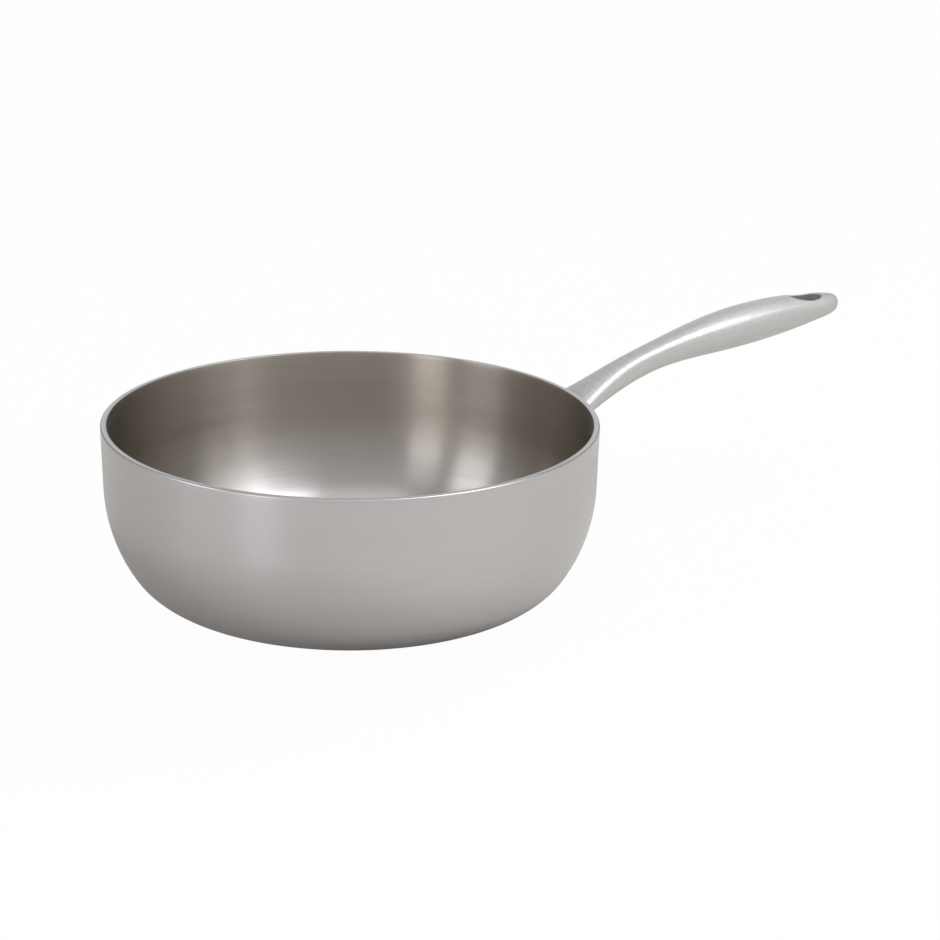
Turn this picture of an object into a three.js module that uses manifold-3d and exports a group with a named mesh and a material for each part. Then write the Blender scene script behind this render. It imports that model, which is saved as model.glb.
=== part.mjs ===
// Deep saute pan: a pressed body of clad sheet with a welded hollow handle.
// Millimetres, +Z up. The origin is the middle of the underside, and the handle points along +X.

import * as THREE from "three";
import { mergeVertices } from "three/addons/utils/BufferGeometryUtils.js";
import Module from "manifold-3d";

const wasm = await Module();
wasm.setup();

// Pan body, measured on the outside
const panDiameter = 240;
const panHeight = 85;
const wallDraft = 1.5; // degrees by which the wall leans in towards the base
const wallFoot = 54; // height at which the straight wall turns into the side curve
const sideRadius = 77; // long curve under the straight wall
const heelRadius = 32; // tighter curve that runs into the flat underside
const rimEase = 0.4; // broken edges of the rim

// Clad sheet, from the cooking surface outwards
const innerSteel = 0.5;
const aluminiumCore = 1.8;
const outerSteel = 0.5;
const bondLine = 0.05; // between one ply and the next

// Handle spine, in the upright plane through the pan's axis
const handleLength = 197.8; // from the pan wall to the tip, measured level
const rootDrop = 21; // from the rim down to the middle of the root
const tipRise = 12.5; // from the rim up to the middle of the tip
const rootPitch = 16.3; // degrees of climb where the handle leaves the wall
const tipPitch = 1.8; // degrees of climb at the tip
const rootLead = 57.4; // how far the spine follows the root's climb
const tipLead = 150.3; // how far the spine follows the tip's climb

// Handle sections: wide flat root at the wall, slim neck, full grip, flat end
const rootWidth = 39;
const rootHeight = 8.5;
const neckAt = 60; // from the pan wall
const neckWidth = 15;
const neckHeight = 12.8;
const gripAt = 131.5; // from the pan wall
const gripWidth = 24.2;
const gripHeight = 21.2;
const endWidth = 17.4;
const endHeight = 8.4;
const rootSquareness = 2.2; // 2 is an ellipse, more has fuller shoulders
const neckSquareness = 2.6;
const gripSquareness = 2;
const noseLength = 13; // rounding of the tip, seen from above
const noseRadius = 3.1; // rounding of the tip, seen from the side
const noseLift = 2.7; // how far above the end's middle the nose closes
const shellWall = 1.2; // pressed sheet of both half shells

// Hanging eye: an oval that lies along the handle
const eyeSetback = 22.1; // from the tip to the middle of the eye
const eyeLength = 19.6;
const eyeWidth = 14.1;
const eyeSquareness = 2.3;
const sleeveWall = 1;

// Root: a pressed cup in the handle's mouth and the weld around it
const bracketWall = 1.5;
const bracketDepth = 14;
const weldLeg = 3;
const weldGap = 0.3; // between pieces that are welded together

// Fineness of the faceted solids
const roundSteps = 64;
const heelSteps = 5;
const sideSteps = 4;
const easeSteps = 2;
const sectionSteps = 24;
const lengthSteps = 20;
const noseSteps = 6;
const weldSteps = 20;
const eyeSteps = 24;

const panRadius = panDiameter / 2;
const wallLean = THREE.MathUtils.degToRad(wallDraft);

// Radius of the outside of the wall at a height on its straight part
function wallRadius(height) {
  return panRadius - (panHeight - height) * Math.tan(wallLean);
}

// A closed geometry as a solid that can be joined and cut
function toSolid(geometry) {
  const bare = geometry.clone();
  bare.deleteAttribute("normal");
  bare.deleteAttribute("uv");
  const merged = mergeVertices(bare, 1e-4);
  const corners = merged.index.array;
  const triangles = [];
  for (let at = 0; at < corners.length; at += 3) {
    const [a, b, c] = corners.slice(at, at + 3);
    if (a !== b && b !== c && c !== a) {
      triangles.push(a, b, c);
    }
  }
  const mesh = new wasm.Mesh({
    numProp: 3,
    vertProperties: new Float32Array(merged.attributes.position.array),
    triVerts: new Uint32Array(triangles),
  });
  return new wasm.Manifold(mesh);
}

// A solid back as a geometry with flat facets
function toGeometry(solid) {
  const mesh = solid.getMesh();
  const geometry = new THREE.BufferGeometry();
  geometry.setAttribute("position", new THREE.BufferAttribute(mesh.vertProperties, 3));
  geometry.setIndex(new THREE.BufferAttribute(mesh.triVerts, 1));
  geometry.computeVertexNormals();
  return geometry;
}

function arc(middleX, middleZ, radius, from, to, steps) {
  const clockwise = to < from;
  return new THREE.EllipseCurve(middleX, middleZ, radius, radius, from, to, clockwise).getPoints(steps);
}

// Half outline of the pan from the middle of its underside to the rim, moved inwards by an offset.
// The rim's corner is eased towards the axis by a positive ease, away from it by a negative one.
function bodyProfile(offset, ease = 0) {
  const sideX = wallRadius(wallFoot) - sideRadius * Math.cos(wallLean);
  const sideZ = wallFoot + sideRadius * Math.sin(wallLean);
  const rise = sideZ - heelRadius;
  const run = Math.sqrt((sideRadius - heelRadius) ** 2 - rise ** 2);
  const heelX = sideX + run;
  const meeting = Math.atan2(-rise, run);
  const rimX = panRadius - offset / Math.cos(wallLean);
  const size = Math.abs(ease);
  const outside = ease < 0 ? Math.PI : 0;
  const points = [new THREE.Vector2(0, offset)];
  points.push(...arc(heelX, heelRadius, heelRadius - offset, -Math.PI / 2, meeting, heelSteps));
  points.push(...arc(sideX, sideZ, sideRadius - offset, meeting, -wallLean, sideSteps).slice(1));
  if (size > 0) {
    points.push(...arc(rimX - ease, panHeight - size, size, outside, Math.PI / 2, easeSteps));
  } else {
    points.push(new THREE.Vector2(rimX, panHeight));
  }
  return points;
}

function revolve(profile) {
  return new THREE.LatheGeometry(profile, roundSteps).rotateX(Math.PI / 2);
}

// One layer of the pan body between two offsets from its outside
function ply(outerOffset, innerOffset, outerEase = 0, innerEase = 0) {
  const outline = [...bodyProfile(outerOffset, outerEase), ...bodyProfile(innerOffset, -innerEase).reverse()];
  return toSolid(revolve(outline));
}

// The whole space that the pan takes up, grown by a clearance
function panSpace(clearance) {
  const outline = bodyProfile(-clearance);
  const top = panHeight + clearance;
  outline.push(new THREE.Vector2(panRadius + clearance, top));
  outline.push(new THREE.Vector2(0, top));
  return toSolid(revolve(outline));
}

const rootHeightAboveBase = panHeight - rootDrop;
const rootX = wallRadius(rootHeightAboveBase);

function pointOnSpine(x, z, pitch, lead) {
  const angle = THREE.MathUtils.degToRad(pitch);
  return new THREE.Vector2(x + lead * Math.cos(angle), z + lead * Math.sin(angle));
}

const tipX = rootX + handleLength;
const tipZ = panHeight + tipRise;
const spine = new THREE.CubicBezierCurve(
  new THREE.Vector2(rootX, rootHeightAboveBase),
  pointOnSpine(rootX, rootHeightAboveBase, rootPitch, rootLead),
  pointOnSpine(tipX, tipZ, tipPitch, -tipLead),
  new THREE.Vector2(tipX, tipZ),
);

// Middle and climb of the handle at a level distance from the wall, run on straight inside the wall
function spineAt(distance) {
  if (distance <= 0) {
    const lead = distance / Math.cos(THREE.MathUtils.degToRad(rootPitch));
    const middle = pointOnSpine(rootX, rootHeightAboveBase, rootPitch, lead);
    return { middle, climb: THREE.MathUtils.degToRad(rootPitch) };
  }
  let low = 0;
  let high = 1;
  for (let halving = 0; halving < 40; halving += 1) {
    const half = (low + high) / 2;
    if (spine.getPoint(half).x < rootX + distance) {
      low = half;
    } else {
      high = half;
    }
  }
  return { middle: spine.getPoint(high), climb: spine.getTangent(high).angle() };
}

// A handle size at a distance from the wall: flared to the root, swelling from neck to grip,
// falling away from the grip to the end
function alongHandle(distance, root, neck, grip, end) {
  if (distance < neckAt) {
    return neck + (root - neck) * (1 - distance / neckAt) ** 2;
  }
  if (distance < gripAt) {
    const share = (distance - neckAt) / (gripAt - neckAt);
    return neck + (grip - neck) * (1 - Math.cos(Math.PI * share)) / 2;
  }
  return grip - (grip - end) * ((distance - gripAt) / (handleLength - gripAt)) ** 2;
}

// Rounding of the nose: 1 along the handle, falling to 0 at the tip like a quarter ellipse
function noseShare(distance, tip, reach) {
  const share = Math.max(0, (distance - (tip - reach)) / reach);
  return Math.sqrt(Math.max(0, 1 - share ** 2));
}

function softPower(value, power) {
  return Math.sign(value) * Math.abs(value) ** power;
}

// A point across the spine and up from it
function besideSpine(middle, climb, across, up) {
  return new THREE.Vector3(middle.x - up * Math.sin(climb), across, middle.y + up * Math.cos(climb));
}

// One cross-section of the handle, square to its spine. A half of 1 or -1 gives the upper or lower
// half, closed at the seam.
function handleSection(distance, inset, half) {
  const tip = handleLength - inset;
  const { middle, climb } = spineAt(distance);
  const width = alongHandle(distance, rootWidth, neckWidth, gripWidth, endWidth) / 2 - inset;
  const height = alongHandle(distance, rootHeight, neckHeight, gripHeight, endHeight) / 2 - inset;
  const halfWidth = width * noseShare(distance, tip, noseLength - inset);
  const halfHeight = height * noseShare(distance, tip, noseRadius - inset);
  const lift = noseLift * (1 - noseShare(distance, tip, noseRadius - inset));
  const power = 2 / alongHandle(distance, rootSquareness, neckSquareness, gripSquareness, 2);
  const turns = half === 0 ? sectionSteps : sectionSteps / 2 + 1;
  const points = [];
  for (let step = 0; step < turns; step += 1) {
    const angle = (half < 0 ? Math.PI : 0) + 2 * Math.PI * step / sectionSteps;
    const across = halfWidth * softPower(Math.cos(angle), power);
    let up = halfHeight * softPower(Math.sin(angle), power);
    if (half !== 0) {
      up = half * Math.max(half * up, weldGap / 2);
    }
    points.push(besideSpine(middle, climb, across, up + lift));
  }
  return points;
}

// A skin drawn over a row of sections, closed by a fan at each end
function loft(sections, startPoint, endPoint) {
  const count = sections[0].length;
  const points = [...sections.flat(), startPoint, endPoint];
  const start = points.length - 2;
  const end = points.length - 1;
  const last = (sections.length - 1) * count;
  const corners = [];
  for (let side = 0; side < count; side += 1) {
    const next = (side + 1) % count;
    corners.push(start, next, side);
    corners.push(end, last + side, last + next);
    for (let row = 0; row < last; row += count) {
      corners.push(row + side, row + next, row + count + side);
      corners.push(row + next, row + count + next, row + count + side);
    }
  }
  const geometry = new THREE.BufferGeometry().setFromPoints(points);
  geometry.setIndex(corners);
  return toSolid(geometry);
}

function centreOf(points) {
  const sum = points.reduce((total, point) => total.add(point), new THREE.Vector3());
  return sum.divideScalar(points.length);
}

// Level distances of the handle's sections, starting inside the pan wall and closing up at the nose
function sectionPlaces(inset) {
  const start = -2 * weldLeg;
  const nose = handleLength - noseLength;
  const places = [];
  for (let step = 0; step <= lengthSteps; step += 1) {
    places.push(start + (nose - start) * step / lengthSteps);
  }
  for (let step = 1; step < noseSteps; step += 1) {
    places.push(nose + (noseLength - inset) * Math.sin(Math.PI / 2 * step / noseSteps));
  }
  return places;
}

// The handle's outer form, or the same form inset by a wall
function handleForm(inset, half = 0) {
  const sections = sectionPlaces(inset).map((distance) => handleSection(distance, inset, half));
  const { middle, climb } = spineAt(handleLength - inset);
  const tip = besideSpine(middle, climb, 0, noseLift + half * weldGap / 2);
  return loft(sections, centreOf(sections[0]), tip);
}

// Oval outline of the eye, grown by a margin
function eyeOutline(margin) {
  const points = [];
  for (let step = 0; step < eyeSteps; step += 1) {
    const angle = 2 * Math.PI * step / eyeSteps;
    const along = (eyeLength / 2 + margin) * softPower(Math.cos(angle), 2 / eyeSquareness);
    const across = (eyeWidth / 2 + margin) * softPower(Math.sin(angle), 2 / eyeSquareness);
    points.push(new THREE.Vector2(along, across));
  }
  return new THREE.Shape(points);
}

// A bar of oval section standing square through the handle's end
function eyeBar(margin) {
  const { middle, climb } = spineAt(handleLength - eyeSetback);
  const depth = 2 * gripHeight;
  const bar = new THREE.ExtrudeGeometry(eyeOutline(margin), { depth, bevelEnabled: false });
  bar.translate(0, 0, -depth / 2);
  bar.rotateY(-climb);
  bar.translate(middle.x, 0, middle.y);
  return toSolid(bar);
}

// Half shell of the handle: hollow, pierced by the eye, and cut to the pan wall
function handleShell(half) {
  return handleForm(0, half)
    .subtract(handleForm(shellWall))
    .subtract(eyeBar(sleeveWall + weldGap))
    .subtract(panSpace(weldGap));
}

// Liner of the hanging eye, finished flush with the handle above and below
function eyeSleeve() {
  return eyeBar(sleeveWall).subtract(eyeBar(0)).intersect(handleForm(0));
}

// Pressed cup that fills the handle's mouth and lies against the pan wall
function rootBracket() {
  const cup = handleForm(shellWall + weldGap)
    .intersect(panSpace(bracketDepth))
    .subtract(panSpace(weldGap));
  const hollow = handleForm(shellWall + weldGap + bracketWall).subtract(panSpace(weldGap + bracketWall));
  return cup.subtract(hollow);
}

// Concave weld fillet around the root: the handle's form swept outwards as it nears the wall
function rootWeld() {
  const sections = [];
  for (let step = 0; step <= weldSteps; step += 1) {
    const distance = weldLeg * (4 * step / weldSteps - 2);
    const climb = spineAt(distance).climb;
    const along = new THREE.Vector3(Math.cos(climb), 0, Math.sin(climb));
    const section = handleSection(distance, 0, 0);
    sections.push(section.map((point, at) => {
      const clearance = Math.hypot(point.x, point.y) - wallRadius(point.z);
      const nearness = THREE.MathUtils.clamp(1 - clearance / weldLeg, 0, 1);
      const around = section[(at + 1) % sectionSteps].clone().sub(section.at(at - 1));
      const outwards = around.cross(along).normalize();
      return point.clone().addScaledVector(outwards, weldLeg * nearness ** 2);
    }));
  }
  const swept = loft(sections, centreOf(sections[0]), centreOf(sections[weldSteps]));
  return swept.subtract(handleForm(-weldGap)).subtract(panSpace(weldGap));
}

function piece(name, solid, color, roughness) {
  const material = new THREE.MeshStandardMaterial({ color, roughness, metalness: 1 });
  const mesh = new THREE.Mesh(toGeometry(solid), material);
  mesh.name = name;
  return mesh;
}

const coreStart = outerSteel + bondLine;
const coreEnd = coreStart + aluminiumCore;
const innerStart = coreEnd + bondLine;
const innerEnd = innerStart + innerSteel;
const outerEase = Math.min(rimEase, 0.8 * outerSteel);
const innerEase = Math.min(rimEase, 0.8 * innerSteel);

const brushedSteel = 0xb4b1af;
const satinSteel = 0xbcbab6;
const aluminium = 0xc9cacb;

const body = new THREE.Group();
body.add(piece("inner_ply", ply(innerStart, innerEnd, 0, innerEase), brushedSteel, 0.32));
body.add(piece("core_ply", ply(coreStart, coreEnd), aluminium, 0.45));
body.add(piece("outer_ply", ply(0, outerSteel, outerEase, 0), brushedSteel, 0.36));

const handle = new THREE.Group();
handle.add(piece("handle_upper_shell", handleShell(1), satinSteel, 0.28));
handle.add(piece("handle_lower_shell", handleShell(-1), satinSteel, 0.28));
handle.add(piece("hanging_eye_sleeve", eyeSleeve(), satinSteel, 0.4));
handle.add(piece("root_bracket", rootBracket(), brushedSteel, 0.5));
handle.add(piece("root_weld", rootWeld(), brushedSteel, 0.5));

const pan = new THREE.Group();
pan.add(body, handle);

export default pan;
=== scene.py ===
import bmesh
import bpy
import math
from mathutils import Matrix, Vector


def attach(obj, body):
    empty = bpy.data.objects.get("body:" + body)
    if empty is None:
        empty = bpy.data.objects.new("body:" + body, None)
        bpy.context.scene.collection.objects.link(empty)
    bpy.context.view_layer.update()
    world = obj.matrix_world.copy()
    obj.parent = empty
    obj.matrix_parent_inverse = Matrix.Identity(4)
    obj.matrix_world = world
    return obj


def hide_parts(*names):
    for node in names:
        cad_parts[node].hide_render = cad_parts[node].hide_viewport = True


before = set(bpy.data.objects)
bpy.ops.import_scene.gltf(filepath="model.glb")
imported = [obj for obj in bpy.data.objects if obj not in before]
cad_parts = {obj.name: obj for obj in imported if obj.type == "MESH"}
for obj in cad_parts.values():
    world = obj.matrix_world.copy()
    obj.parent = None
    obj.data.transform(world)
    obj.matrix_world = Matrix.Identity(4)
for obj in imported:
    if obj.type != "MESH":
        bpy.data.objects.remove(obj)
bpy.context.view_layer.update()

mm = 0.001  # every size below is in millimetres
tiny = 1e-6
meshing = {
    "turnedMerge": 0.002, "merge": 0.0005, "sliver": 0.0002,  # points and edges closer than this become one
    "turnedCrease": 32, "crease": 40,  # degrees past which an edge stays crisp
}


def linearColour(hexText):  # an sRGB hex value as linear red, green, blue and alpha
    parts = [int(hexText[at:at + 2], 16) / 255 for at in (1, 3, 5)]
    return [part / 12.92 if part <= 0.04045 else ((part + 0.055) / 1.055) ** 2.4 for part in parts] + [1]


def addNode(tree, kind, feeds={}, **settings):  # one node with its settings, values and links
    node = tree.nodes.new(kind)
    for name, value in settings.items():
        setattr(node, name, value)
    for name, value in feeds.items():
        socket = node.inputs[name]
        if isinstance(value, bpy.types.NodeSocket):
            tree.links.new(value, socket)
        else:
            socket.default_value = value
    return node


# Materials

def newMetal(name):  # an empty metal material and its shader
    material = bpy.data.materials.new(name)
    material.use_nodes = True
    return material, material.node_tree, material.node_tree.nodes["Principled BSDF"]


noiseLow, noiseHigh = 0.3, 0.7  # the span that most of a noise falls in


def addNoise(tree, place, detail=3, grain=0.6, scale=1):
    return addNode(tree, "ShaderNodeTexNoise", {
        "Vector": place, "Scale": scale, "Detail": detail, "Roughness": grain}).outputs["Fac"]


def addTint(tree, share, dark, pale, low=noiseLow, high=noiseHigh):  # a blend of two hex colours
    tint = addNode(tree, "ShaderNodeValToRGB", {"Fac": share})
    for stop, colour, position in zip(tint.color_ramp.elements, (dark, pale), (low, high)):
        stop.position = position
        stop.color = linearColour(colour)
    return tint.outputs["Color"]


def mixColour(tree, share, first, second, blend="MIX"):  # colours are sockets 6 and 7, the result is 2
    feeds = {"Factor": share, 6: first, 7: second}
    return addNode(tree, "ShaderNodeMix", feeds, data_type="RGBA", blend_type=blend).outputs[2]


# Stainless sheet brushed on a lathe: hair-fine rings round the axis that pull every highlight
# into a streak across them, so the wall looks soft from top to bottom and crisp from side to side.
def turnedSteel(name, look):
    material, tree, shader = newMetal(name)
    spot = addNode(tree, "ShaderNodeTexCoord").outputs["Object"]
    parts = addNode(tree, "ShaderNodeSeparateXYZ", {"Vector": spot})
    flat = addNode(tree, "ShaderNodeCombineXYZ", {"X": parts.outputs["X"], "Y": parts.outputs["Y"]})
    reach = addNode(tree, "ShaderNodeVectorMath", {0: flat.outputs["Vector"]}, operation="LENGTH")
    around = addNode(tree, "ShaderNodeVectorMath", {0: flat.outputs["Vector"]}, operation="NORMALIZE")
    ring = addNode(tree, "ShaderNodeMath", {0: reach.outputs["Value"], 1: parts.outputs["Z"]})
    rings = []
    for kind in ("line", "band"):
        width, length = look[kind + "Width"], look[kind + "Length"]
        turn = addNode(tree, "ShaderNodeVectorMath", {
            0: around.outputs["Vector"], "Scale": panBody["diameter"] / 2 / length}, operation="SCALE")
        across = addNode(tree, "ShaderNodeMath", {0: ring.outputs["Value"], 1: 1 / (width * mm)},
                         operation="MULTIPLY")
        lift = addNode(tree, "ShaderNodeCombineXYZ", {"Z": across.outputs["Value"]})
        place = addNode(tree, "ShaderNodeVectorMath", {0: turn.outputs["Vector"], 1: lift.outputs["Vector"]})
        rings.append(addNoise(tree, place.outputs["Vector"]))
    lines, bands = rings
    colour = addTint(tree, lines, look["groove"], look["colour"])
    # painted reflection: from the lower height to the upper one the colour is multiplied towards a warm tint,
    # standing in for the warmer light the wall mirrors from the pan's own inside
    if "paintedReflectionWarmth" in look:
        rise = addNode(tree, "ShaderNodeMapRange", {
            "Value": parts.outputs["Z"], "From Min": look["paintedWarmthFrom"] * mm, "From Max": look["paintedWarmthTo"] * mm})
        paintedReflectionWarmth = linearColour(look["paintedReflectionWarmth"])
        colour = mixColour(tree, rise.outputs["Result"], colour, paintedReflectionWarmth, "MULTIPLY")
    polish = addNode(tree, "ShaderNodeMapRange", {
        "Value": bands, "From Min": noiseLow, "From Max": noiseHigh,
        "To Min": look["roughness"] - look["roughnessSpread"],
        "To Max": look["roughness"] + look["roughnessSpread"]})
    grooves = addNode(tree, "ShaderNodeBump", {
        "Height": lines, "Strength": look["grooveStrength"], "Distance": look["grooveDepth"] * mm})
    turned = addNode(tree, "ShaderNodeTangent", direction_type="RADIAL", axis="Z")
    tree.links.new(colour, shader.inputs["Base Color"])
    tree.links.new(polish.outputs["Result"], shader.inputs["Roughness"])
    tree.links.new(grooves.outputs["Normal"], shader.inputs["Normal"])
    tree.links.new(turned.outputs["Tangent"], shader.inputs["Tangent"])
    shader.inputs["Metallic"].default_value = 1
    shader.inputs["Anisotropic"].default_value = look["anisotropy"]
    shader.inputs["Anisotropic Rotation"].default_value = 0.25  # the glare runs across the rings
    return material


buffedEdge = 0.02  # how sharply the buffed strokes stand out from the satin ones


# Pressed stainless handle, satin-polished by hand along its length and then lightly buffed: most
# strokes scatter the light softly, and the few that the buff has closed add a narrow bright line
# where the metal turns over.
def buffedSteel(name, look):
    material, tree, shader = newMetal(name)
    marks = addNode(tree, "ShaderNodeUVMap", uv_map="brushing").outputs["UV"]
    stroke = addNode(tree, "ShaderNodeVectorMath", {
        0: marks, 1: (handle["length"] / look["lineLength"], handle["length"] / look["lineWidth"], 1)},
        operation="MULTIPLY")
    lines = addNoise(tree, stroke.outputs["Vector"])
    colour = addTint(tree, lines, look["groove"], look["colour"])
    fine = addNode(tree, "ShaderNodeVectorMath", {
        0: stroke.outputs["Vector"], "Scale": look["buffedFineness"]}, operation="SCALE")
    closed = addNoise(tree, fine.outputs["Vector"], detail=1, grain=0.5)
    polish = addNode(tree, "ShaderNodeMapRange", {
        "Value": closed, "From Min": look["buffedFrom"], "From Max": look["buffedFrom"] + buffedEdge,
        "To Min": look["roughness"], "To Max": look["buffedRoughness"]})
    grooves = addNode(tree, "ShaderNodeBump", {
        "Height": lines, "Strength": look["grooveStrength"], "Distance": look["grooveDepth"] * mm})
    tree.links.new(colour, shader.inputs["Base Color"])
    tree.links.new(polish.outputs["Result"], shader.inputs["Roughness"])
    tree.links.new(grooves.outputs["Normal"], shader.inputs["Normal"])
    shader.inputs["Metallic"].default_value = 1
    return material


# Pan body

panBody = {
    "diameter": 240, "height": 85, "wallDraft": 1.5, "wallFoot": 54, "sideRadius": 77, "heelRadius": 32,
    "rimShoulder": 0.8, "rimBreak": 0.25,  # roundings of the rim's outer and inner edge
    "wall": 2.9, "turnSteps": 192, "arcStep": 2.2, "axisRadius": 1, "rimSteps": 10,
    "flatShares": (0, 0.1, 0.3, 0.5, 0.7, 0.85), "wallShares": (0.25, 0.5, 0.75, 0.92, 1),  # rows of points
}
lean = math.radians(panBody["wallDraft"])


def wallRadius(height):  # outside of the straight wall
    return panBody["diameter"] / 2 - (panBody["height"] - height) * math.tan(lean)


def arcPoints(middle, radius, start, end):
    steps = max(2, round(math.degrees(abs(end - start)) / panBody["arcStep"]))
    angles = [start + (end - start) * step / steps for step in range(steps + 1)]
    return [(middle[0] + radius * math.cos(angle), middle[1] + radius * math.sin(angle)) for angle in angles]


def rimHeight(offset):  # the rim's top at a depth into the wall, rounded at both edges
    shoulder = panBody["rimShoulder"]
    inner = panBody["rimBreak"]
    if offset < shoulder:
        return panBody["height"] - shoulder + math.sqrt(shoulder ** 2 - (shoulder - offset) ** 2)
    into = offset - (panBody["wall"] - inner)
    if into > 0:
        return panBody["height"] - inner + math.sqrt(max(0, inner ** 2 - into ** 2))
    return panBody["height"]


def bodyLine(offset):  # half section of the pan's outside, moved inwards, from the axis to the rim
    sideX = wallRadius(panBody["wallFoot"]) - panBody["sideRadius"] * math.cos(lean)
    sideZ = panBody["wallFoot"] + panBody["sideRadius"] * math.sin(lean)
    rise = sideZ - panBody["heelRadius"]
    run = math.sqrt((panBody["sideRadius"] - panBody["heelRadius"]) ** 2 - rise ** 2)
    meeting = math.atan2(-rise, run)
    heelMiddle = (sideX + run, panBody["heelRadius"])
    heel = arcPoints(heelMiddle, panBody["heelRadius"] - offset, -math.pi / 2, meeting)
    side = arcPoints((sideX, sideZ), panBody["sideRadius"] - offset, meeting, -lean)
    flat = [(heel[0][0] * share, offset) for share in panBody["flatShares"]]
    foot = panBody["wallFoot"]
    top = rimHeight(offset)
    wall = []
    for share in panBody["wallShares"]:
        height = foot + (top - foot) * share
        wall.append((wallRadius(height) - offset / math.cos(lean), height))
    return flat + heel + side[1:] + wall


def plySection(outer, inner):  # closed half section of one layer between two depths
    rim = []
    for step in range(1, panBody["rimSteps"]):
        offset = outer + (inner - outer) * (1 - math.cos(math.pi * step / panBody["rimSteps"])) / 2
        height = rimHeight(offset)
        rim.append((wallRadius(height) - offset / math.cos(lean), height))
    return bodyLine(outer) + rim + bodyLine(inner)[::-1]


def turnTree():  # Geometry Nodes: a half section turned round the pan's axis
    tree = bpy.data.node_groups.new("turnedSheet", "GeometryNodeTree")
    for name, kind in (("Section", "NodeSocketGeometry"), ("Turn Steps", "NodeSocketInt"),
                       ("Axis Radius", "NodeSocketFloat"), ("Metal", "NodeSocketMaterial")):
        tree.interface.new_socket(name, in_out="INPUT", socket_type=kind)
    tree.interface.new_socket("Sheet", in_out="OUTPUT", socket_type="NodeSocketGeometry")
    given = addNode(tree, "NodeGroupInput").outputs
    ring = addNode(tree, "GeometryNodeCurvePrimitiveCircle", {
        "Resolution": given["Turn Steps"], "Radius": given["Axis Radius"]})
    level = addNode(tree, "GeometryNodeSetCurveNormal", {"Curve": ring.outputs["Curve"]}, mode="Z_UP")
    skin = addNode(tree, "GeometryNodeCurveToMesh", {
        "Curve": level.outputs["Curve"], "Profile Curve": given["Section"]})
    closed = addNode(tree, "GeometryNodeMergeByDistance", {
        "Geometry": skin.outputs["Mesh"], "Distance": meshing["turnedMerge"] * mm})
    smooth = addNode(tree, "GeometryNodeSetShadeSmooth", {"Geometry": closed.outputs["Geometry"]})
    real = addNode(tree, "GeometryNodeRealizeInstances", {"Geometry": smooth.outputs["Geometry"]})
    dressed = addNode(tree, "GeometryNodeSetMaterial", {
        "Geometry": real.outputs["Geometry"], "Material": given["Metal"]})
    addNode(tree, "NodeGroupOutput", {"Sheet": dressed.outputs["Geometry"]})
    return tree


def addPiece(name, mesh, node):  # a finished mesh that stands for a CAD node
    piece = bpy.data.objects.new(name, mesh)
    bpy.context.scene.collection.objects.link(piece)
    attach(piece, "root")
    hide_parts(node)
    print("made", name, len(mesh.polygons), "faces")


def pointOut(mesh):  # normals outwards, corners kept crisp
    shape = bmesh.new()
    shape.from_mesh(mesh)
    bmesh.ops.recalc_face_normals(shape, faces=shape.faces)
    shape.to_mesh(mesh)
    shape.free()
    mesh.set_sharp_from_angle(angle=math.radians(meshing["turnedCrease"]))


def turnPly(name, ply, tree):
    section = plySection(ply["outer"], ply["inner"])
    curve = bpy.data.curves.new(name + "Section", "CURVE")
    curve.dimensions = "3D"
    line = curve.splines.new("POLY")
    line.points.add(len(section) - 1)
    for point, (reach, height) in zip(line.points, section):
        away = reach - panBody["axisRadius"]
        point.co = (away * mm, -height * mm, 0, 1)  # Curve to Mesh turns y downwards
    holder = bpy.data.objects.new(name + "Section", curve)
    bpy.context.scene.collection.objects.link(holder)
    turn = holder.modifiers.new("turn", "NODES")
    turn.node_group = tree
    values = {
        "Turn Steps": panBody["turnSteps"], "Axis Radius": panBody["axisRadius"] * mm, "Metal": ply["metal"]}
    for socket in tree.interface.items_tree:
        if socket.in_out == "INPUT" and socket.name in values:
            turn[socket.identifier] = values[socket.name]
    ready = holder.evaluated_get(bpy.context.evaluated_depsgraph_get())
    mesh = bpy.data.meshes.new_from_object(ready)
    mesh.name = name
    holder.modifiers.remove(turn)
    bpy.data.objects.remove(holder)
    pointOut(mesh)
    addPiece(name, mesh, ply["node"])


outerSkinLook = {
    "colour": "#c5c1c4", "groove": "#c0bcbf",
    "roughness": 0.33, "roughnessSpread": 0.018, "anisotropy": 0.72,
    "lineWidth": 0.5, "lineLength": 70,  # real lines are about 0.05 mm wide: drawn ten times coarser to show
    "bandWidth": 6, "bandLength": 160, "grooveStrength": 0.08, "grooveDepth": 0.02,
}
cookingLook = {
    "colour": "#bbb8b7", "groove": "#b3b0ae",
    "paintedReflectionWarmth": "#fff9ee", "paintedWarmthFrom": 10, "paintedWarmthTo": 50,  # painted reflection: a warmer tint up the wall, standing in for the warm light the wall mirrors from the pan's own inside
    "roughness": 0.3, "roughnessSpread": 0.02, "anisotropy": 0.92,
    "lineWidth": 0.5, "lineLength": 70,  # drawn ten times coarser than the real lines, to show
    "bandWidth": 8, "bandLength": 160, "grooveStrength": 0.1, "grooveDepth": 0.02,
}
coreLook = {
    "colour": "#c4c4c4", "groove": "#b8b8b8",
    "roughness": 0.32, "roughnessSpread": 0.04, "anisotropy": 0.3,
    "lineWidth": 0.3, "lineLength": 30,  # lathe marks of the trimmed edge, drawn coarser to show
    "bandWidth": 2, "bandLength": 60, "grooveStrength": 0.1, "grooveDepth": 0.02,
}
outerSkinSteel = turnedSteel("stainlessOuterSkinBrushed", outerSkinLook)
cookingSteel = turnedSteel("stainlessCookingSurfaceBrushed", cookingLook)
coreAluminium = turnedSteel("aluminiumCoreTrimmedEdge", coreLook)

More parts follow.
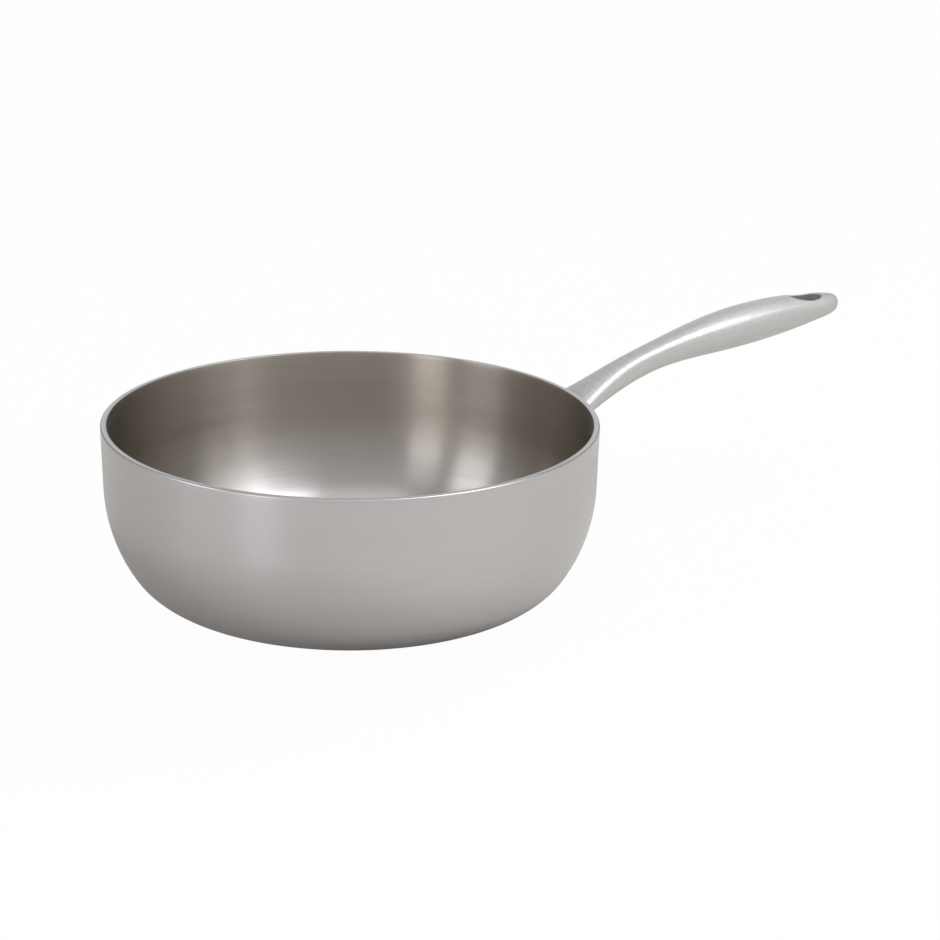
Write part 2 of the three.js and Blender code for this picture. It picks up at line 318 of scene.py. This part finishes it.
plies = {
    "outerSkin": {
        "outer": 0, "inner": 0.5, "metal": outerSkinSteel, "node": "outer_ply", "slot": "outer_skin"},
    "aluminiumCore": {
        "outer": 0.55, "inner": 2.35, "metal": coreAluminium, "node": "core_ply", "slot": "core"},
    "cookingSurface": {
        "outer": 2.4, "inner": 2.9, "metal": cookingSteel, "node": "inner_ply", "slot": "cooking_surface"},
}
sheetTree = turnTree()
for plyName, ply in plies.items():
    turnPly(plyName, ply, sheetTree)

# Handle

handle = {
    "length": 197.8, "rootDrop": 21, "tipRise": 12.5,
    "rootPitch": 16.3, "tipPitch": 1.8, "rootLead": 57.4, "tipLead": 150.3,
    "neckAt": 60, "gripAt": 131.5,
    "width": (39, 15, 24.2, 17.4), "height": (8.5, 12.8, 21.2, 8.4),  # at the root, neck, grip and end
    "squareness": (2.2, 2.6, 2, 2),
    "noseLength": 13, "noseRadius": 4.6, "noseLift": 2.5, "sheet": 1.2,
    "columns": 48, "rootRows": 28, "gripRows": 60, "noseRows": 22, "rootBlend": 45,
    "spineHalvings": 40, "rootFrom": -8, "rootTo": 20, "rootHalvings": 24,  # how places are searched for
}
eye = {
    "setback": 23, "length": 21.6, "width": 13, "squareness": 2.2,
    "lip": 0.8, "lipSteps": 8, "rows": 48, "wallSteps": 6, "slopeStep": 0.1,
}

rootZ = panBody["height"] - handle["rootDrop"]
rootX = wallRadius(rootZ)
tipX = rootX + handle["length"]
tipZ = panBody["height"] + handle["tipRise"]
eyeMiddle = handle["length"] - eye["setback"]
eyeFrom = eyeMiddle - eye["length"] / 2 - eye["lip"]
eyeTo = eyeMiddle + eye["length"] / 2 + eye["lip"]


def spinePoint(share):  # cubic curve through the middle of the handle, with its direction
    rootPitch = math.radians(handle["rootPitch"])
    tipPitch = math.radians(handle["tipPitch"])
    root = Vector((rootX, rootZ))
    tip = Vector((tipX, tipZ))
    rootGuide = root + handle["rootLead"] * Vector((math.cos(rootPitch), math.sin(rootPitch)))
    tipGuide = tip - handle["tipLead"] * Vector((math.cos(tipPitch), math.sin(tipPitch)))
    rest = 1 - share
    place = (rest ** 3 * root + 3 * rest ** 2 * share * rootGuide
             + 3 * rest * share ** 2 * tipGuide + share ** 3 * tip)
    way = (rest ** 2 * (rootGuide - root) + 2 * rest * share * (tipGuide - rootGuide)
           + share ** 2 * (tip - tipGuide))
    return place, math.atan2(way.y, way.x)


knownSpine = {}


def spineAt(distance):  # middle and climb at a level distance from the wall
    if distance <= 0:
        pitch = math.radians(handle["rootPitch"])
        return Vector((rootX + distance, rootZ + distance * math.tan(pitch))), pitch
    if distance not in knownSpine:
        low, high = 0, 1
        for halving in range(handle["spineHalvings"]):
            half = (low + high) / 2
            if spinePoint(half)[0].x < rootX + distance:
                low = half
            else:
                high = half
        knownSpine[distance] = spinePoint(high)
    return knownSpine[distance]


def alongHandle(distance, sizes):  # flared root, swelling grip, falling end
    root, neck, grip, end = sizes
    if distance < handle["neckAt"]:
        return neck + (root - neck) * (1 - distance / handle["neckAt"]) ** 2
    if distance < handle["gripAt"]:
        share = (distance - handle["neckAt"]) / (handle["gripAt"] - handle["neckAt"])
        return neck + (grip - neck) * (1 - math.cos(math.pi * share)) / 2
    share = (distance - handle["gripAt"]) / (handle["length"] - handle["gripAt"])
    return grip - (grip - end) * share ** 2


def noseShare(distance, inset, reach):  # 1 along the handle, falling to 0 at the tip
    share = max(0, (distance - handle["length"] + reach) / (reach - inset))
    return math.sqrt(max(0, 1 - share ** 2))


def halfSizes(distance, inset):  # half width, half height and squareness of a section
    width = alongHandle(distance, handle["width"]) / 2 - inset
    height = alongHandle(distance, handle["height"]) / 2 - inset
    return (width * noseShare(distance, inset, handle["noseLength"]),
            height * noseShare(distance, inset, handle["noseRadius"]),
            alongHandle(distance, handle["squareness"]))


def fromSpine(distance, across, up, inset=0):  # a point beside the spine, which rises where the nose closes
    middle, climb = spineAt(distance)
    up += handle["noseLift"] * (1 - noseShare(distance, inset, handle["noseRadius"]))
    return Vector((middle.x - up * math.sin(climb), across, middle.y + up * math.cos(climb)))


def skinHeight(distance, across, inset=0):  # height of the handle's skin over its spine
    halfWidth, halfHeight, squareness = halfSizes(distance, inset)
    if halfWidth <= 0:
        return 0
    share = min(1, abs(across) / halfWidth)
    return halfHeight * max(0, 1 - share ** squareness) ** (1 / squareness)


def skinPoint(distance, share, side, inset=0, hole=0):  # share 0 is the seam, 1 the middle or the eye's edge
    halfWidth, halfHeight, squareness = halfSizes(distance, inset)
    edge = math.cos(share * math.pi / 2) ** (2 / squareness) if share < 1 else 0
    across = hole + (halfWidth - hole) * edge
    if hole > 0:
        return across * side, skinHeight(distance, across, inset)
    return across * side, halfHeight * math.sin(share * math.pi / 2) ** (2 / squareness)


def eyeHalfWidth(distance, margin):  # half width of the oval eye, grown by a margin
    share = abs(distance - eyeMiddle) / (eye["length"] / 2 + margin)
    if share >= 1:
        return 0
    return (eye["width"] / 2 + margin) * (1 - share ** eye["squareness"]) ** (1 / eye["squareness"])


# Where the skin starts to roll into the eye: its place across and up, the way in, the slope and the radius
def eyeEdge(distance, side):
    margin = eye["lip"]
    width = eyeHalfWidth(distance, margin)
    reach = eye["length"] / 2 + margin
    breadth = eye["width"] / 2 + margin
    power = eye["squareness"] - 1
    along = (distance - eyeMiddle) / reach
    inwards = -Vector((
        math.copysign(abs(along) ** power, along) / reach,
        side * (width / breadth) ** power / breadth)).normalized()
    step = eye["slopeStep"]
    here = skinHeight(distance, width)
    ahead = skinHeight(distance + inwards.x * step, width * side + inwards.y * step)
    slope = math.atan2(ahead - here, step)
    return width * side, here, inwards, slope, margin / (1 + math.sin(slope))


def handleRows():  # level distances of the rows, closer together round the eye and at the nose
    blend = handle["rootBlend"]
    rows = [blend * step / handle["rootRows"] for step in range(handle["rootRows"])]
    rows += [blend + (eyeFrom - blend) * step / handle["gripRows"] for step in range(handle["gripRows"])]
    middle, reach = (eyeFrom + eyeTo) / 2, (eyeTo - eyeFrom) / 2
    rows += [middle - reach * math.cos(math.pi * step / eye["rows"]) for step in range(eye["rows"] + 1)]
    for step in range(1, handle["noseRows"] + 1):
        rows.append(eyeTo + (handle["length"] - eyeTo) * math.sin(math.pi / 2 * step / handle["noseRows"]))
    return rows


def besideEye(row):
    return eyeFrom - tiny <= row <= eyeTo + tiny


def rootStart(share, side, half, gap):  # where a line of the skin stands clear of the wall by a gap
    low, high = handle["rootFrom"], handle["rootTo"]
    for halving in range(handle["rootHalvings"]):
        distance = (low + high) / 2
        across, up = skinPoint(distance, share, side)
        place = fromSpine(distance, across, up * half)
        if math.hypot(place.x, place.y) - wallRadius(place.z) < gap:
            low = distance
        else:
            high = distance
    return high


def newBuild():
    return {"places": [], "marks": [], "faces": []}


def addSheet(build, rows):  # a grid of places with their brushing marks
    first, width = len(build["places"]), len(rows[0])
    for row in rows:
        for place, mark in row:
            build["places"].append(place)
            build["marks"].append(mark)
    for at in range(len(rows) - 1):
        for column in range(width - 1):
            corner = first + at * width + column
            build["faces"].append((corner, corner + 1, corner + width + 1, corner + width))


def makeMesh(name, build, metal):
    shape = bmesh.new()
    layer = shape.loops.layers.uv.new("brushing")
    corners = [shape.verts.new(place * mm) for place in build["places"]]
    for face in build["faces"]:
        made = shape.faces.new([corners[corner] for corner in face])
        made.smooth = True
        for loop, corner in zip(made.loops, face):
            loop[layer].uv = build["marks"][corner]
    bmesh.ops.remove_doubles(shape, verts=shape.verts, dist=meshing["merge"] * mm)
    bmesh.ops.dissolve_degenerate(shape, edges=shape.edges, dist=meshing["sliver"] * mm)
    bmesh.ops.recalc_face_normals(shape, faces=shape.faces)
    mesh = bpy.data.meshes.new(name)
    shape.to_mesh(mesh)
    shape.free()
    mesh.set_sharp_from_angle(angle=math.radians(meshing["crease"]))
    mesh.materials.append(metal)
    return mesh


def brushMark(distance, girth):  # the brushing's own map, a unit for each handle length
    return distance / handle["length"], girth / handle["length"]


def skinSheet(rows, shares, starts, half, side, inset):  # one side of a pressing, outside or inside
    sheet = []
    for row in rows:
        if inset and row > eyeTo:
            row = eyeTo + (row - eyeTo) * (handle["length"] - inset - eyeTo) / (handle["length"] - eyeTo)
        line = []
        for share, start in zip(shares, starts):
            distance = row
            if row < handle["rootBlend"]:
                distance = start + (handle["rootBlend"] - start) * row / handle["rootBlend"]
            hole = eyeHalfWidth(distance, eye["lip"]) if eyeFrom < distance < eyeTo else 0
            across, up = skinPoint(distance, share, side, inset, hole)
            girth = share * math.pi / 2 * handle["height"][1] * side
            line.append((fromSpine(distance, across, up * half, inset), brushMark(distance, girth)))
        sheet.append(line)
    return sheet


def shellMesh(name, half, metal):  # one pressing of the handle: skin, eye lip, inside and edges
    build = newBuild()
    rows = handleRows()
    shares = [column / handle["columns"] for column in range(handle["columns"] + 1)]
    for side in (1, -1):
        starts = [rootStart(share, side, half, 0) for share in shares]
        outside = skinSheet(rows, shares, starts, half, side, 0)
        inside = skinSheet(rows, shares, starts, half, side, handle["sheet"])
        lips = []  # the eye's edge rolls over into the sleeve
        for row, line in zip(rows, inside):
            if besideEye(row):
                width, top, inwards, slope, radius = eyeEdge(row, side)
                ring = []
                for step in range(eye["lipSteps"] + 1):
                    angle = slope - (slope + math.pi / 2) * step / eye["lipSteps"]
                    into = radius * (math.sin(slope) - math.sin(angle))
                    up = top + radius * (math.cos(angle) - math.cos(slope))
                    distance, across = row + inwards.x * into, width + inwards.y * into
                    ring.append((fromSpine(distance, across, up * half), brushMark(distance, across)))
                ring.append(line[-1])
                lips.append(ring)
        for sheet in (outside, inside, lips):
            addSheet(build, sheet)
        addSheet(build, [[line[0] for line in outside], [line[0] for line in inside]])  # seam
        addSheet(build, [outside[0], inside[0]])  # root edge
    return makeMesh(name, build, metal)


def sleeveMesh(name, metal):  # oval liner between the two lips
    build = newBuild()
    for side in (1, -1):
        sheet = []
        for row in filter(besideEye, handleRows()):
            width, top, inwards, slope, radius = eyeEdge(row, side)
            edge = top - radius * math.cos(slope)
            behind = skinHeight(row, abs(width), handle["sheet"])
            along, across = row + inwards.x * eye["lip"], width + inwards.y * eye["lip"]
            mark = brushMark(row, across)
            ring = []
            for step in range(eye["wallSteps"] + 1):
                ring.append((fromSpine(along, across, edge * (1 - 2 * step / eye["wallSteps"])), mark))
            ring.append((fromSpine(row, width, -behind), mark))
            ring.append((fromSpine(row, width, behind), mark))
            ring.append(ring[0])
            sheet.append(ring)
        addSheet(build, sheet)
    return makeMesh(name, build, metal)


weld = {"leg": 3, "girth": 120, "turnSteps": 160, "arcSteps": 8, "depth": 0.3}


def rootLoop(gap):  # the handle's skin all round the root, at a gap from the wall
    loop = []
    for step in range(weld["turnSteps"]):
        quarter = 4 * step / weld["turnSteps"]
        half = 1 if quarter <= 2 else -1
        side = 1 if quarter <= 1 or quarter > 3 else -1
        share = [quarter, 2 - quarter, quarter - 2, 4 - quarter][int(quarter)]
        distance = rootStart(share, side, half, gap)
        across, up = skinPoint(distance, share, side)
        loop.append(fromSpine(distance, across, up * half))
    return loop


def weldMesh(name, metal):  # concave fillet between the handle's root and the wall
    build = newBuild()
    sheet = []
    corners = rootLoop(0)
    holds = rootLoop(weld["leg"])
    count = weld["turnSteps"]
    for step in range(count + 1):
        corner, onHandle = corners[step % count], holds[step % count]
        around = corners[(step + 1) % count] - corners[(step - 1) % count]
        fromAxis = Vector((corner.x, corner.y, 0)).normalized()
        onWall = corner + around.cross(fromAxis).normalized() * weld["leg"]
        reach = wallRadius(onWall.z) / math.hypot(onWall.x, onWall.y)
        onWall = Vector((onWall.x * reach, onWall.y * reach, onWall.z))
        girth = weld["girth"] * step / count
        line = []
        for bend in range(weld["arcSteps"] + 1):
            part = bend / weld["arcSteps"]
            place = (1 - part) ** 2 * onHandle + 2 * part * (1 - part) * corner + part ** 2 * onWall
            line.append((place, brushMark(weld["leg"] * part, girth)))
        line.append((corner - fromAxis * weld["depth"], brushMark(0, girth)))
        line.append(line[0])
        sheet.append(line)
    addSheet(build, sheet)
    return makeMesh(name, build, metal)


handleLook = {
    "colour": "#cecdcc", "groove": "#c6c5c4", "roughness": 0.7, "buffedFrom": 0.57, "buffedRoughness": 0.24,
    "lineWidth": 0.4, "lineLength": 40, "buffedFineness": 9,  # real strokes are 0.05 mm wide: coarser to show
    "grooveStrength": 0.06, "grooveDepth": 0.02,
}
sleeveLook = dict(handleLook, colour="#a9a7a4", groove="#9f9d9a", buffedFrom=0.9)  # the buff stops at the eye
weldLook = {
    "colour": "#c8c6c3", "groove": "#bebcb9", "roughness": 0.6, "buffedFrom": 0.6, "buffedRoughness": 0.3,
    "lineWidth": 0.5, "lineLength": 6, "buffedFineness": 3,  # short strokes of the grinding belt
    "grooveStrength": 0.1, "grooveDepth": 0.03,
}
handleSteel = buffedSteel("stainlessHandleSatinPolished", handleLook)
sleeveSteel = buffedSteel("stainlessSleeveAsPressed", sleeveLook)
weldSteel = buffedSteel("stainlessWeldGround", weldLook)

addPiece("handleUpperShell", shellMesh("handleUpperShell", 1, handleSteel), "handle_upper_shell")
addPiece("handleLowerShell", shellMesh("handleLowerShell", -1, handleSteel), "handle_lower_shell")
addPiece("hangingEyeSleeve", sleeveMesh("hangingEyeSleeve", sleeveSteel), "hanging_eye_sleeve")
addPiece("rootWeld", weldMesh("rootWeld", weldSteel), "root_weld")

# The pressed cup inside the handle's mouth keeps its solid, with the grey bloom of sheet as it left the mill
bracketLook = {"colour": "#a3a2a0", "mottle": "#949391", "roughness": 0.5, "mottleSize": 4}
millSteel, millTree, millShader = newMetal("stainlessBracketAsRolled")
millSpot = addNode(millTree, "ShaderNodeTexCoord").outputs["Object"]
millCloud = addNoise(millTree, millSpot, detail=4, scale=1 / (bracketLook["mottleSize"] * mm))
millColour = addTint(millTree, millCloud, bracketLook["mottle"], bracketLook["colour"], low=0, high=1)
millTree.links.new(millColour, millShader.inputs["Base Color"])
millShader.inputs["Metallic"].default_value = 1
millShader.inputs["Roughness"].default_value = bracketLook["roughness"]
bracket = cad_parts["root_bracket"]
bracket.data.materials.clear()
bracket.data.materials.append(millSteel)

# Studio

studio = {
    "floorSize": 6000, "floorDrop": 0.3, "floorColour": "#e8e7de",
    "paintedShadeColour": "#d2d1c8", "shadeSide": -95, "shadeDistance": 140,  # painted shade: a darker paper colour in a soft disc on the left, standing in for the shade beside the pan
    "shadeRadius": 240, "shadeSoftness": 0.1,
    "floorGlow": 0.975, "mirroredGlow": 0.04,  # plain white in the floor, for the camera and for metal
    "horizonFront": 1, "horizonBack": 0.36, "brightSide": 25,  # the paler side, degrees to the camera's right
    "ceiling": 0.5, "horizonTop": 12, "ceilingFrom": 26,  # the room darkens between these degrees of rise
    "lampColour": "#f8fbff", "fill": 0.46,  # the room's evened light on the floor
}
view = {  # the photograph's place, measured to the rim's middle
    "azimuth": -34, "elevation": 17.39, "fromRim": 1350, "lens": 107.19, "sensor": 36,
    "turnRight": 2.437, "tiltUp": -1.039, "roll": 0.0945,  # degrees by which the camera looks past that point
}
softboxes = {  # degrees to the camera's right and above the floor, and the light that metal sees as glare
    "keyRight": {"side": 80, "rise": 58, "distance": 1800, "width": 1100, "height": 1100, "glare": 4.2},
    "overhead": {"side": 0, "rise": 80, "distance": 1800, "width": 1400, "height": 1400, "glare": 0.93},
    "stripLeft": {"side": -40, "rise": 11, "distance": 1900, "width": 540, "height": 1100, "glare": 2.6},
    "wideLeft": {"side": -71, "rise": 23, "distance": 1900, "width": 680, "height": 900, "glare": 2.75},
    "edgeLeft": {"side": -93, "rise": 28, "distance": 1900, "width": 800, "height": 900, "glare": 0.42},
    "backdrop": {"side": 180, "rise": 15, "distance": 1900, "width": 1200, "height": 700, "glare": 0.6},
}


def fromCamera(side, rise):  # the way to a place, by degrees to the camera's right and above the floor
    turn, climb = math.radians(view["azimuth"] + side), math.radians(rise)
    return Vector((math.sin(turn) * math.cos(climb), -math.cos(turn) * math.cos(climb), math.sin(climb)))


def mirroredRay(tree, ray):  # 1 for what metal mirrors, or else 0
    feeds = {0: ray["Is Glossy Ray"], 1: ray["Is Transmission Ray"]}
    return addNode(tree, "ShaderNodeMath", feeds, operation="MAXIMUM").outputs[0]


def layFloor():  # white floor: the camera sees it as the white backdrop, with a soft shadow left in it
    half = studio["floorSize"] / 2 * mm
    drop = -studio["floorDrop"] * mm
    mesh = bpy.data.meshes.new("floor")
    corners = [(-half, -half, drop), (half, -half, drop), (half, half, drop), (-half, half, drop)]
    mesh.from_pydata(corners, [], [(0, 1, 2, 3)])
    floor = bpy.data.objects.new("floor", mesh)
    bpy.context.scene.collection.objects.link(floor)
    paper = bpy.data.materials.new("studioPaper")
    paper.use_nodes = True
    tree = paper.node_tree
    tree.nodes.clear()
    ray = addNode(tree, "ShaderNodeLightPath").outputs
    dimmed = addNode(tree, "ShaderNodeMath", {0: mirroredRay(tree, ray), 1: studio["mirroredGlow"]},
                     operation="MULTIPLY")
    direct = addNode(tree, "ShaderNodeMath", {0: ray["Is Camera Ray"], 1: studio["floorGlow"]},
                     operation="MULTIPLY")
    glow = addNode(tree, "ShaderNodeMath", {0: direct.outputs[0], 1: dimmed.outputs[0]}, operation="MAXIMUM")
    # painted shade: the paper is given a darker colour in a soft disc left of the pan, standing in for the
    # shade there that the pan's lower wall mirrors
    spot = addNode(tree, "ShaderNodeTexCoord").outputs["Object"]
    middle = fromCamera(studio["shadeSide"], 0) * studio["shadeDistance"] * mm
    away = addNode(tree, "ShaderNodeVectorMath", {0: spot, 1: middle}, operation="DISTANCE")
    edge = addNode(tree, "ShaderNodeMapRange", {
        "Value": away.outputs["Value"],
        "From Min": (1 - studio["shadeSoftness"]) * studio["shadeRadius"] * mm,
        "From Max": (1 + studio["shadeSoftness"]) * studio["shadeRadius"] * mm})
    paintedShadeColour, floorColour = linearColour(studio["paintedShadeColour"]), linearColour(studio["floorColour"])
    shade = mixColour(tree, edge.outputs["Result"], paintedShadeColour, floorColour)
    matt = addNode(tree, "ShaderNodeBsdfDiffuse", {"Color": shade})
    light = addNode(tree, "ShaderNodeEmission", {"Strength": 1})
    mixed = addNode(tree, "ShaderNodeMixShader", {
        0: glow.outputs[0], 1: matt.outputs[0], 2: light.outputs[0]})
    addNode(tree, "ShaderNodeOutputMaterial", {"Surface": mixed.outputs[0]})
    mesh.materials.append(paper)


def hangSoftbox(name, box):
    lamp = bpy.data.lights.new(name, "AREA")
    lamp.shape = "RECTANGLE"
    lamp.size = box["width"] * mm
    lamp.size_y = box["height"] * mm
    lamp.energy = box["glare"] * math.pi * lamp.size * lamp.size_y
    lamp.color = linearColour(studio["lampColour"])[:3]
    hung = bpy.data.objects.new(name, lamp)
    bpy.context.scene.collection.objects.link(hung)
    toward = fromCamera(box["side"], box["rise"])
    hung.location = toward * box["distance"] * mm
    hung.rotation_euler = toward.to_track_quat("Z", "Y").to_euler()
    hung.visible_camera = False


def lightWorld():  # white for the camera; metal sees the pale horizon and the dimmer ceiling of the room
    world = bpy.data.worlds.new("studio")
    bpy.context.scene.world = world
    world.use_nodes = True
    tree = world.node_tree
    way = addNode(tree, "ShaderNodeTexCoord").outputs["Generated"]
    height = addNode(tree, "ShaderNodeSeparateXYZ", {"Vector": way}).outputs["Z"]
    facing = addNode(tree, "ShaderNodeVectorMath", {0: way, 1: fromCamera(studio["brightSide"], 0)},
                     operation="DOT_PRODUCT")
    horizon = addNode(tree, "ShaderNodeMapRange", {
        "Value": facing.outputs["Value"], "From Min": -1, "From Max": 1,
        "To Min": studio["horizonBack"], "To Max": studio["horizonFront"]})
    room = addNode(tree, "ShaderNodeMapRange", {
        "Value": height, "From Min": math.sin(math.radians(studio["horizonTop"])),
        "From Max": math.sin(math.radians(studio["ceilingFrom"])),
        "To Min": horizon.outputs["Result"], "To Max": studio["ceiling"]})
    ray = addNode(tree, "ShaderNodeLightPath").outputs
    shown = addNode(tree, "ShaderNodeMix", {
        "Factor": mirroredRay(tree, ray), "A": studio["fill"], "B": room.outputs["Result"]})
    level = addNode(tree, "ShaderNodeMath", {0: shown.outputs["Result"], 1: ray["Is Camera Ray"]},
                    operation="MAXIMUM")
    backdrop = tree.nodes["Background"]
    backdrop.inputs["Color"].default_value = linearColour("#ffffff")
    tree.links.new(level.outputs[0], backdrop.inputs["Strength"])


def setCamera():
    lens = bpy.data.cameras.new("view")
    lens.sensor_width = view["sensor"]
    lens.lens = view["lens"]
    camera = bpy.data.objects.new("view", lens)
    bpy.context.scene.collection.objects.link(camera)
    rise = math.radians(view["elevation"])
    rimMiddle = Vector((0, 0, panBody["height"]))
    place = Vector((0, -math.cos(rise), math.sin(rise))) * view["fromRim"] + rimMiddle
    camera.matrix_world = (
        Matrix.Rotation(math.radians(view["azimuth"]), 4, "Z")
        @ Matrix.Translation(place * mm)
        @ Matrix.Rotation(math.pi / 2 - rise, 4, "X")
        @ Matrix.Rotation(-math.radians(view["turnRight"]), 4, "Y")
        @ Matrix.Rotation(math.radians(view["tiltUp"]), 4, "X")
        @ Matrix.Rotation(math.radians(view["roll"]), 4, "Z"))
    bpy.context.scene.camera = camera


layFloor()
for boxName, box in softboxes.items():
    hangSoftbox(boxName, box)
lightWorld()
setCamera()
bpy.context.scene.view_settings.view_transform = "Standard"
print("studio set")
